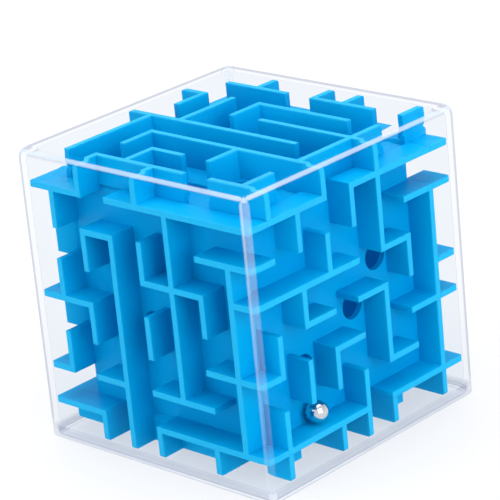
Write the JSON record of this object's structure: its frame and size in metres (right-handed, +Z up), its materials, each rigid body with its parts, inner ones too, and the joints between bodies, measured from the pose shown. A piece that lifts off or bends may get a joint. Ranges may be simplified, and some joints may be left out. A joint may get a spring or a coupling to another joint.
{
  "type": "3d maze ball puzzle",
  "caption": "Cube puzzle with a blue channel maze on every side inside a clear case, and a steel ball that rolls along the channels.",
  "frame": {"origin": "centre of the bottom of the case, in the plane it stands on", "axes": "+Z up through the lid of the hood; -Y towards the front panel of the maze, +X towards the right panel"},
  "size_m": [0.08, 0.08, 0.08],
  "materials": {
    "clear_case": "clear polished moulded plastic",
    "maze_blue": "satin moulded plastic",
    "ball_steel": "polished ball-bearing steel"
  },
  "bodies": {
    "cube": {"case_hood": "clear_case", "case_base": "clear_case", "maze_panel_front": "maze_blue", "maze_panel_right": "maze_blue", "maze_panel_back": "maze_blue", "maze_panel_left": "maze_blue", "maze_panel_top": "maze_blue", "maze_panel_bottom": "maze_blue"},
    "ball": {"steel_ball": "ball_steel"}
  },
  "joints": [
    {"name": "ball_roll", "type": "slide", "parent": "cube", "child": "ball", "axis": [0, 1, 0], "range_m": [-0.0109, 0.0109]}
  ]
}
